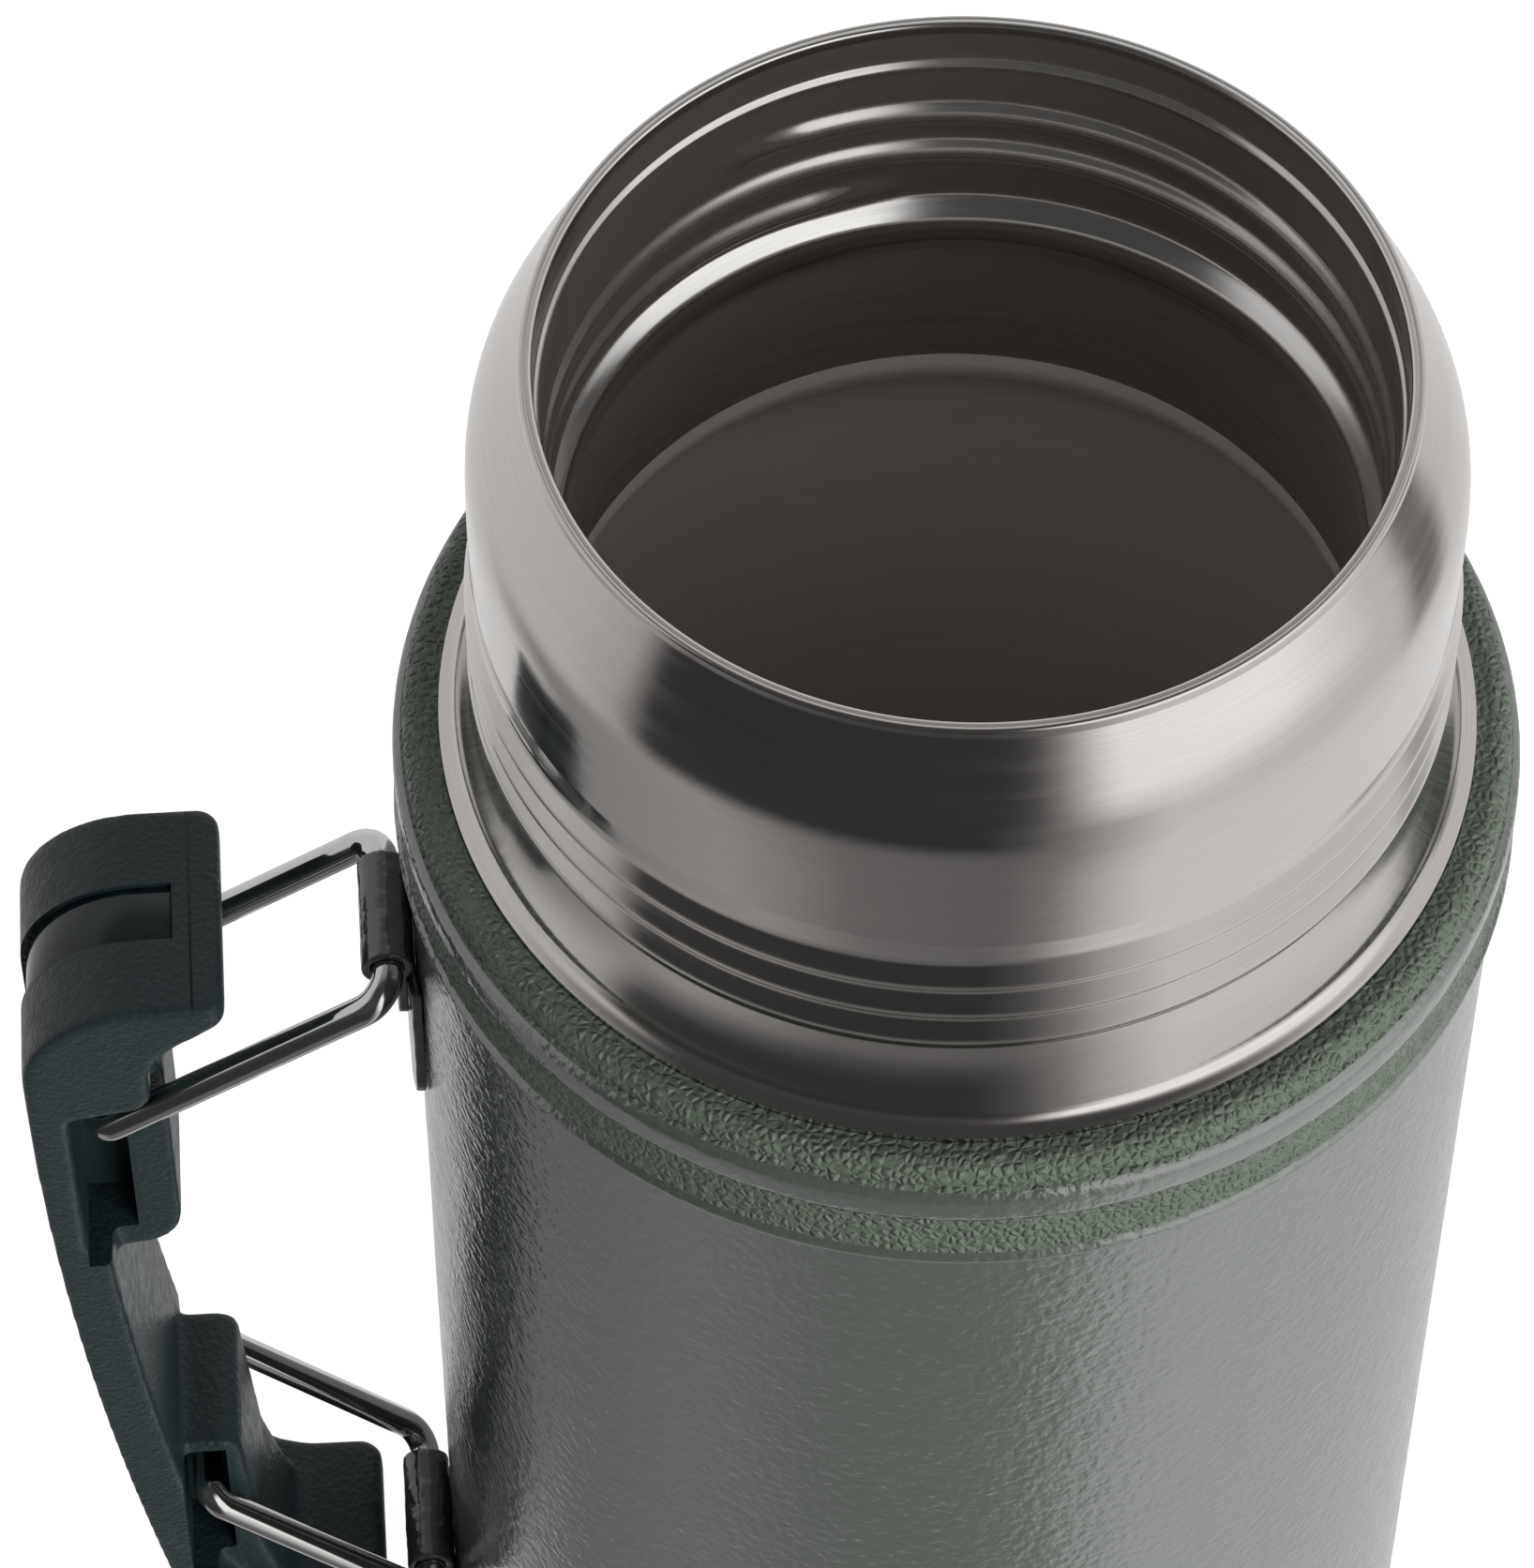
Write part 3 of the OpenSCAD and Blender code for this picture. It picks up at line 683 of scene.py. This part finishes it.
# pressed pan under the flask, with rounded bends and a shallow ring pressed into its recess
base_outline = (dense([[SEAL_HOLE_R + 0.02, 3.2], [24, 3.2]], 4)
                + smooth_curve([[25, 3.2], [27, 2.75], [31, 2.7], [33, 3.15], [34, 3.2]], 0.4)
                + dense([[36, 3.2], [43.5, 3.2]], 2)
                + smooth_curve([[44.5, 3.12], [45.4, 2.6], [45.9, 1.2],
                                [46.6, 0.25], [47.6, 0.0]], 0.25)
                + dense([[48.5, 0], [56.8, 0]], 2)
                + smooth_curve([[57.6, 0.05], [58.6, 0.45], [59.1, 1.4],
                                [shell_inner - 0.02, 2.4]], 0.25)
                + dense([[shell_inner - 0.02, 3], [shell_inner - 0.02, 8], [shell_inner - SHEET, 8],
                         [shell_inner - SHEET, 1.6], [57.2, 0.85], [47.6, 0.85], [46.8, 1.6],
                         [46.4, 3.4], [44.5, 4.0], [SEAL_HOLE_R + 0.02, 4.0]], 3))
add_piece("base_pan", turned("base_pan", base_outline, columns=240), "flask",
          [base_steel], ["outer_base"])

# cap over the sealed hole
cover_outline = (dense([[0, 1.75], [8, 1.7]], 2)
                 + smooth_curve([[9, 1.62], [10.6, 1.65], [11.6, 2.05], [11.98, 3.18]], 0.25)
                 + dense([[11.2, 3.18], [11.0, 2.5], [0, 2.4]], 2))
add_piece("seal_cap", turned("seal_cap", cover_outline, columns=96), "flask",
          [base_steel], ["seal_cover"])


# ---------------------------------------------------------------- brackets
def coated_copy(name, node, seed):
    """A CAD node's shape with the soft edges and uneven skin that thick enamel gives it."""
    mesh = rounded(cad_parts[node].data.copy(), voxel_mm=0.22, passes=4)
    rough_skin(mesh, size_mm=2.2, depth_mm=0.07, seed=seed)
    mesh.name = name
    mesh.shade_smooth()
    return mesh


for seed, side in enumerate(("upper", "lower")):
    for part in ("plate", "knuckle"):
        name = f"{side}_{part}"
        node = f"{side}_bracket_{part}"
        # the brackets take the darkened enamel, which paints their shade
        add_piece(name, coated_copy(name, node, 40 + seed), "flask",
                  [shaded_bracket_paint], [node])


# ---------------------------------------------------------------- bails
def bail_path(length, arm_y):
    """Centre line of a bail in its own plane, from one hook's end round to the other's."""
    line = [[-length, WIRE_END_Y], [-length, WIRE_END_Y + 0.5], [-length, arm_y - HOOK_R]]
    line += arc(-length + HOOK_R, arm_y - HOOK_R, HOOK_R, 180, 90, 10)[1:]
    line += [[-length * 0.5, arm_y]]
    line += arc(-ELBOW_R, arm_y - ELBOW_R, ELBOW_R, 90, 0, 12)
    half = np.array(dense(line, 2.0))
    return np.vstack([half, (half * [1, -1])[::-1]])


def wire(name, path, pin, tilt):
    """A round wire swept along a flat path, with rounded ends, tilted about its pin in the knuckle."""
    p = np.array(path, float)
    along = np.gradient(p, axis=0)
    along /= np.linalg.norm(along, axis=1)[:, None]
    across = np.stack([-along[:, 1], along[:, 0]], axis=1)
    rings = [(p[k], across[k], WIRE_R) for k in range(len(p))]
    ends = []
    for point, side, way in ((p[0], across[0], -along[0]), (p[-1], across[-1], along[-1])):
        cap = []
        for t in np.radians([25, 50, 72, 88]):
            cap.append((point + way * WIRE_CAP * math.sin(t), side, WIRE_R * math.cos(t) ** 0.6))
        ends.append(cap)
    rings = ends[0][::-1] + rings + ends[1]
    angle = np.linspace(0, 2 * math.pi, WIRE_SIDES, endpoint=False)
    turn = Matrix.Rotation(math.radians(tilt), 4, "Y")
    verts = []
    for point, side, radius in rings:
        for t in angle:
            flat = point + side * radius * math.cos(t)
            verts.append(turn @ Vector((flat[0], flat[1], radius * math.sin(t))) + Vector(pin))
    faces = []
    for first in range(0, (len(rings) - 1) * WIRE_SIDES, WIRE_SIDES):
        for s in range(WIRE_SIDES):
            n = (s + 1) % WIRE_SIDES
            faces.append([first + s, first + n, first + WIRE_SIDES + n, first + WIRE_SIDES + s])
    last = (len(rings) - 1) * WIRE_SIDES
    faces.append(list(range(WIRE_SIDES)))
    faces.append([last + s for s in reversed(range(WIRE_SIDES))])
    mesh = mesh_from(name, [list(v) for v in verts], faces)
    finish_mesh(mesh, sharp=60)
    return mesh


upper_wire = wire("upper_wire", bail_path(length=41.4, arm_y=11.0), pin=(-63, 0, 181), tilt=-35.6)
lower_wire = wire("lower_wire", bail_path(length=38.4, arm_y=11.8), pin=(-63, 0, 44.7), tilt=46.6)
add_piece("upper_wire", upper_wire, "upper_bail", [wire_steel], ["upper_bail"])
add_piece("lower_wire", lower_wire, "lower_bail", [wire_steel], ["lower_bail"])


# ---------------------------------------------------------------- grip
def face_out(z):
    """How far out the grip's gently bowed outer face lies at height z."""
    return GRIP_REACH - (CORNER_Z - z) ** 2 / (2 * LONG_R)


def outer_face(depth, out0, z1):
    """The line depth under the outer face, from out0 on the cap's top round the corner to z1."""
    points = [[out0, GRIP_TOP - depth]] + arc(CORNER_OUT, CORNER_Z, CORNER_R - depth, 90, 0, 20)
    for z in np.linspace(CORNER_Z, z1, 29)[1:]:
        points.append([face_out(z) - depth, z])
    return points


def face_band(depth0, depth1, out0, z1):
    """A closed band along the outer face between two depths under it."""
    return outer_face(depth0, out0, z1) + outer_face(depth1, out0, z1)[::-1]


foot_angle = math.radians(10)
foot_start = FOOT_BOTTOM + FOOT_R * (1 + math.sin(foot_angle))
foot_centre = [face_out(foot_start) - FOOT_R * math.cos(foot_angle), FOOT_BOTTOM + FOOT_R]


def grip_outline(inset):
    """The grip's side outline, with the inner ends of its cap and foot drawn back by inset."""
    cap_end = 81 + inset
    foot_end = 68.6 + inset
    return ([[cap_end + 1, 180.2], [cap_end, 181.0], [cap_end, 183.8], [cap_end + 0.7, GRIP_TOP]]
            + outer_face(0, 84.5, foot_start)
            + arc(foot_centre[0], foot_centre[1], FOOT_R, -8, -90, 12)
            + [[foot_end + 1.4, FOOT_BOTTOM], [foot_end, 35.4], [foot_end, 39.4],
               [foot_end + 1.2, 40.6], [78, 40.8], [81.5, 42.4], [84.5, 46], [89, 54]]
            + [[face_out(z) - STRAP_T, z] for z in np.linspace(62, 133, 12)]
            + [[99.6, 135], [99.8, 163], [91.6, 164.6], [90.2, 166.4], [90.2, 171.5],
               [89, 174.8], [86.6, 177.4], [84.2, 179]])


def rounded_grip(corner):
    """Prisms that together round the corners of the cap and the foot as seen from above."""
    solids = []
    for angle in np.radians([0, 18, 36, 54, 72, 90]):
        half = GRIP_HALF_W - corner * (1 - math.sin(math.pi / 2 - angle))
        solids.append(prism(grip_outline(corner * (1 - math.sin(angle))), half))
    return solids


upper_housing = ([[101, 170], [101, 127.6], [97, 127.6]] + arc(94.2, 133, 5.4, -90, -180, 8)
                 + [[88.8, 164], [90.5, 170]])
lower_housing = ([[86, 36], [88, 44], [92, 60], [95, 81.8], [88, 81.8]]
                 + arc(87.4, 79.2, 2.6, 90, 175, 6)
                 + [[83.2, 56], [80.4, 44], [79, 38]])


def slot_prisms(out, half_gap, low, high):
    """Cutters for the blind slots that one bail's hooks slide in, with a web left between them."""
    near = out - half_gap
    far = out + half_gap
    half_depth = 10
    solids = []
    for side in (-1, 1):
        verts, faces = prism([[near, low], [far, low], [far, high], [near, high]], half_depth)
        middle = side * (WEB_HALF + half_depth)
        solids.append(([[v[0], v[1] + middle, v[2]] for v in verts], faces))
    return solids


grip = joined("grip", rounded_grip(CAP_CORNER)
              + [prism(upper_housing, 8.4), prism(lower_housing, 9.5)])
grip = rounded(grip, voxel_mm=0.4, passes=26)
upper_slots = slot_prisms(out=96.7, half_gap=2.9, low=132, high=160.4)
lower_slots = slot_prisms(out=89.5, half_gap=2.7, low=56, high=80.2)
inlay_groove = prism(face_band(-2, 1.45, 86.5, 56), 3.7)
parting_line = [[84.4, GRIP_TOP - 0.22], [84.7, GRIP_TOP - 0.22],
                [84.7, GRIP_TOP + 2], [84.4, GRIP_TOP + 2]]
grip = cut(grip, upper_slots + lower_slots + [inlay_groove])
grip = cut(grip, [prism(parting_line, GRIP_HALF_W + 2)])
grip.name = "grip"
grip.shade_smooth()
grip.set_sharp_from_angle(angle=math.radians(38))
add_piece("grip", grip, "handle", [grip_plastic], ["handle_grip"])


def soften_inlay(carrier):
    """Breaks the inlay's sharp edges."""
    bevel = carrier.modifiers.new("edge", "BEVEL")
    bevel.width = 0.12 * MM
    bevel.segments = 2
    bevel.limit_method = "ANGLE"
    bevel.angle_limit = math.radians(40)


inlay = joined("inlay", [prism(face_band(INLAY_DEPTH, 1.43, 86.52, 56.02), 3.68)])
inlay = with_modifiers(inlay, soften_inlay)
inlay.shade_smooth()
inlay.set_sharp_from_angle(angle=math.radians(35))
add_piece("inlay", inlay, "handle", [inlay_plastic], ["grip_inlay"])


# ---------------------------------------------------------------- CAD nodes that stay
for node, material in {"vacuum_seal": glass, "getter": getter_metal, "getter_holder": base_steel,
                       "radiation_foil": foil, "support_spacer": pad_plastic}.items():
    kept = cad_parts[node]
    kept.data.materials.clear()
    kept.data.materials.append(material)


# ---------------------------------------------------------------- stage, light, camera
def build_floor():
    """A plain pale floor just under the base, left out of reflections and of the light's bounces."""
    bm = bmesh.new()
    bmesh.ops.create_grid(bm, x_segments=1, y_segments=1, size=6)
    bmesh.ops.translate(bm, verts=bm.verts, vec=(0, 0, -FLOOR_DROP * MM))
    mesh = bpy.data.meshes.new("floor")
    bm.to_mesh(mesh)
    bm.free()
    floor = bpy.data.objects.new("floor", mesh)
    bpy.context.scene.collection.objects.link(floor)
    s = Shader("floor_white", Roughness=0.9)
    s.main.inputs["Specular IOR Level"].default_value = 0.0
    s.tint(s.noise((0.6, 0.6, 0.6), 1), (0.86, 0.86, 0.86), (0.88, 0.88, 0.88))
    s.main.inputs["Emission Color"].default_value = (1, 1, 1, 1)
    s.main.inputs["Emission Strength"].default_value = 0.75
    mesh.materials.append(s.material)
    floor.visible_glossy = False
    floor.visible_diffuse = False
    floor.visible_shadow = False


class Sky:
    """The studio round the flask, as brightness over heading and height."""

    # the brightest value that a ramp can hold
    TOP = 2.5

    def __init__(self):
        world = bpy.data.worlds.new("studio")
        bpy.context.scene.world = world
        world.use_nodes = True
        self.nodes = world.node_tree.nodes
        self.links = world.node_tree.links
        self.nodes.clear()
        split = self.nodes.new("ShaderNodeSeparateXYZ")
        place = self.nodes.new("ShaderNodeTexCoord")
        self.links.new(place.outputs["Generated"], split.inputs["Vector"])
        self.depth = split.outputs["Y"]
        back = self.math("MULTIPLY", self.depth, -1.0)
        # heading in turns: 0.5 towards the front, 0.75 towards +X, 0.25 towards -X
        turn = self.math("ARCTAN2", split.outputs["X"], back)
        self.heading = self.math("MULTIPLY_ADD", turn, 1 / (2 * math.pi), 0.5)
        height = self.math("ARCSINE", split.outputs["Z"])
        self.height = self.math("MULTIPLY", height, 180 / math.pi)

    def math(self, operation, a, b=None, c=None):
        """A Math node on numbers or sockets."""
        node = self.nodes.new("ShaderNodeMath")
        node.operation = operation
        for socket, value in zip(node.inputs, (a, b, c)):
            if value is None:
                continue
            if isinstance(value, (int, float)):
                socket.default_value = value
            else:
                self.links.new(value, socket)
        return node.outputs[0]

    def ramp(self, stops):
        """Brightness by heading in degrees from the front, + towards +X."""
        node = self.nodes.new("ShaderNodeValToRGB")
        node.color_ramp.interpolation = "LINEAR"
        elements = node.color_ramp.elements
        while len(elements) < len(stops):
            elements.new(0.5)
        for element, (degrees, value) in zip(elements, stops):
            element.position = degrees / 360 + 0.5
            element.color = (value / self.TOP, value / self.TOP, value / self.TOP, 1)
        self.links.new(self.heading, node.inputs["Fac"])
        return self.math("MULTIPLY", node.outputs["Color"], self.TOP)

    def blend(self, low_value, high_value, low, high):
        """low_value under one height and high_value over the other, in degrees."""
        node = self.nodes.new("ShaderNodeMapRange")
        node.interpolation_type = "SMOOTHSTEP"
        node.inputs["From Min"].default_value = low
        node.inputs["From Max"].default_value = high
        self.links.new(self.height, node.inputs["Value"])
        mix = self.nodes.new("ShaderNodeMix")
        mix.data_type = "FLOAT"
        self.links.new(node.outputs["Result"], mix.inputs["Factor"])
        for socket, value in ((mix.inputs["A"], low_value), (mix.inputs["B"], high_value)):
            if isinstance(value, (int, float)):
                socket.default_value = value
            else:
                self.links.new(value, socket)
        return mix.outputs["Result"]

    def blend_back(self, front_value, back_value):
        """front_value towards the front and back_value behind."""
        node = self.nodes.new("ShaderNodeMapRange")
        node.interpolation_type = "SMOOTHSTEP"
        node.inputs["From Min"].default_value = -0.05
        node.inputs["From Max"].default_value = 0.3
        node.inputs["To Min"].default_value = front_value
        node.inputs["To Max"].default_value = back_value
        self.links.new(self.depth, node.inputs["Value"])
        return node.outputs["Result"]

    def show(self, strength):
        """Lights the world with the given brightness."""
        background = self.nodes.new("ShaderNodeBackground")
        out = self.nodes.new("ShaderNodeOutputWorld")
        self.links.new(strength, background.inputs["Strength"])
        self.links.new(background.outputs["Background"], out.inputs["Surface"])


def build_studio():
    """Pale walls with a dark gap on the left of the camera and a bright softbox on its right."""
    sky = Sky()
    low = sky.ramp([(-180, 1.0), (-125, 0.85), (-104, 0.36), (-60, 0.46), (-45, 0.36), (-30, 0.23),
                    (5, 0.19), (15, 0.27), (22, 0.45), (30, 0.76), (42, 1.02), (180, 1.0)])
    middle = sky.ramp([(-180, 0.95), (-120, 0.85), (-90, 0.78), (-76, 0.6), (-68, 0.06), (0, 0.05),
                       (8, 0.12), (16, 0.3), (25, 0.65), (36, 0.98), (75, 0.9), (92, 0.9),
                       (98, 0.25), (107, 0.25), (114, 0.9), (180, 0.95)])
    high = sky.ramp([(-180, 0.95), (-120, 0.85), (-90, 0.76), (-74, 0.6), (-68, 0.05), (4, 0.055),
                     (10, 0.13), (15, 0.4), (25, 1.45), (60, 1.55), (78, 1.3), (86, 0.9), (96, 0.9),
                     (100, 0.4), (106, 0.4), (112, 0.9)])
    side = sky.blend(low, middle, -42, -24)
    side = sky.blend(side, high, -20, -5)
    roof = sky.blend_back(0.07, 0.35)
    softbox = sky.ramp([(-76, 0.8), (-66, 0.08), (8, 0.08), (18, 1.6), (80, 1.4), (90, 0.9)])
    over = sky.blend(side, softbox, 2, 24)
    over = sky.blend(over, roof, 40, 60)
    sky.show(sky.blend(0.8, over, -80, -66))


def add_light(name, strength, spread, way):
    """A sun spread over an angle in degrees, shining along way, that reflections do not show."""
    light = bpy.data.lights.new(name, "SUN")
    light.energy = strength
    light.angle = math.radians(spread)
    lamp = bpy.data.objects.new(name, light)
    bpy.context.scene.collection.objects.link(lamp)
    lamp.rotation_euler = Vector(way).to_track_quat("-Z", "Y").to_euler()
    lamp.visible_glossy = False


def add_mouth_light():
    """A faint disc just above the lip, shining down so that the deep vessel is not black."""
    light = bpy.data.lights.new("mouth", "AREA")
    light.shape = "DISK"
    light.size = 0.078
    light.energy = 0.016
    lamp = bpy.data.objects.new("mouth", light)
    bpy.context.scene.collection.objects.link(lamp)
    lamp.location = (0, 0, (HEIGHT + 3) * MM)
    lamp.visible_camera = False
    lamp.visible_glossy = False


def build_camera():
    """A long lens looking down into the mouth from the front, with the handle on the left."""
    data = bpy.data.cameras.new("camera")
    camera = bpy.data.objects.new("camera", data)
    bpy.context.scene.collection.objects.link(camera)
    place = Vector((-0.05264, -0.44807, 0.85168))
    aim = Vector((-0.02281, -0.03278, 0.25036))
    roll = Matrix.Rotation(math.radians(0.318), 4, "Z")
    look = (aim - place).to_track_quat("-Z", "Y").to_matrix().to_4x4()
    camera.matrix_world = Matrix.Translation(place) @ look @ roll
    data.sensor_width = 36
    data.lens = 166.18
    data.clip_start = 0.05
    bpy.context.scene.camera = camera


build_floor()
build_studio()
add_light("key", strength=3.7, spread=40, way=(-0.56, 0.8, -0.22))
add_light("fill", strength=0.35, spread=60, way=(0.05, 0.55, -0.84))
add_mouth_light()
build_camera()
bpy.context.scene.view_settings.view_transform = "Standard"
